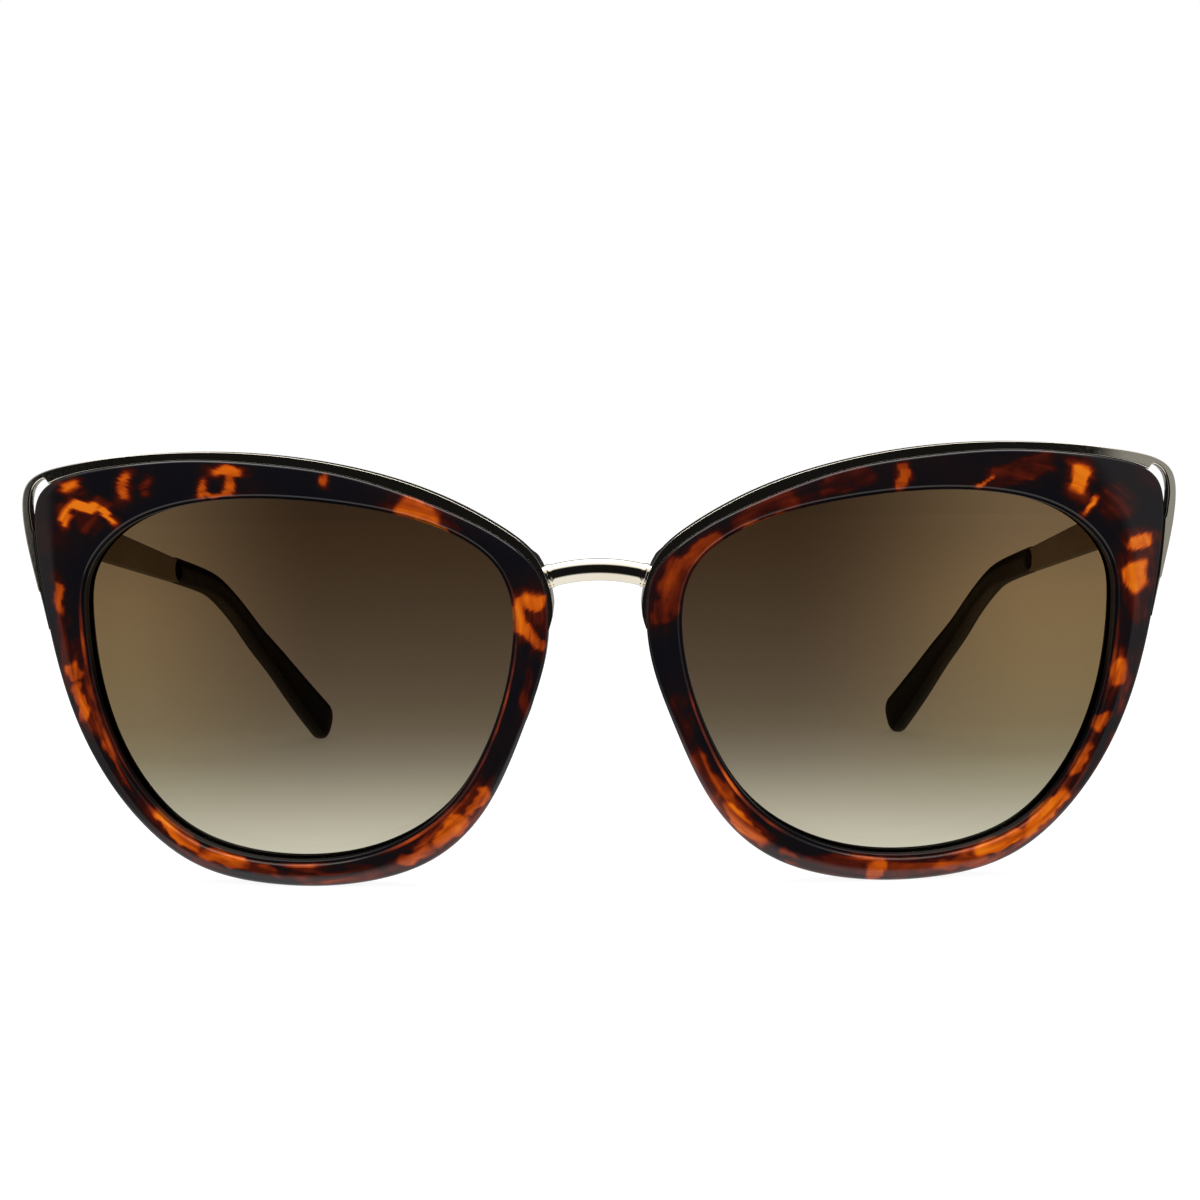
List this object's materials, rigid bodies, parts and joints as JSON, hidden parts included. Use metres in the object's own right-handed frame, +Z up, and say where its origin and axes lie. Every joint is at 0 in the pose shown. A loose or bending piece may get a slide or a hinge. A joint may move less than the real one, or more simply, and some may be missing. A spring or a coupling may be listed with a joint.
{
  "type": "cat eye sunglasses",
  "caption": "Cat eye sunglasses with tortoise rims edged in a metal band, a slim metal bridge, gradient lenses and folding metal temples with plastic tips.",
  "frame": {"origin": "under the middle of the whole object, on the surface that it stands on", "axes": "+X to the wearer's left, +Y back along the temples, +Z up; the front faces -Y"},
  "size_m": [0.1448, 0.1456, 0.0547],
  "materials": {
    "polished_gold": "polished pale gold plating",
    "hinge_metal": "satin pale gold",
    "screw_steel": "bright",
    "tortoise": "polished dark tortoiseshell with amber patches",
    "tortoise_pad": "satin dark tortoiseshell",
    "dark_tip": "polished very dark tortoiseshell",
    "smoke_lens": "polished, brown at the top fading to pale beige"
  },
  "bodies": {
    "front": {"bridge": "polished_gold", "left_trim": "polished_gold", "left_rim": "tortoise", "left_lens": "smoke_lens", "left_nose_pad": "tortoise_pad", "left_rim_screws": "screw_steel", "left_end_piece": "polished_gold", "left_front_hinge": "hinge_metal", "left_hinge_screw": "screw_steel", "right_trim": "polished_gold", "right_rim": "tortoise", "right_lens": "smoke_lens", "right_nose_pad": "tortoise_pad", "right_rim_screws": "screw_steel", "right_end_piece": "polished_gold", "right_front_hinge": "hinge_metal", "right_hinge_screw": "screw_steel"},
    "left_temple_arm": {"left_rear_hinge": "hinge_metal", "left_temple": "polished_gold", "left_temple_tip": "dark_tip"},
    "right_temple_arm": {"right_rear_hinge": "hinge_metal", "right_temple": "polished_gold", "right_temple_tip": "dark_tip"}
  },
  "joints": [
    {"name": "left_temple_hinge", "type": "hinge", "parent": "front", "child": "left_temple_arm", "pos_m": [0.0672, -0.05452, 0.0447], "axis": [0, 0, 1], "range_deg": [0, 86]},
    {"name": "right_temple_hinge", "type": "hinge", "parent": "front", "child": "right_temple_arm", "pos_m": [-0.0672, -0.05452, 0.0447], "axis": [0, 0, -1], "range_deg": [0, 81]}
  ]
}
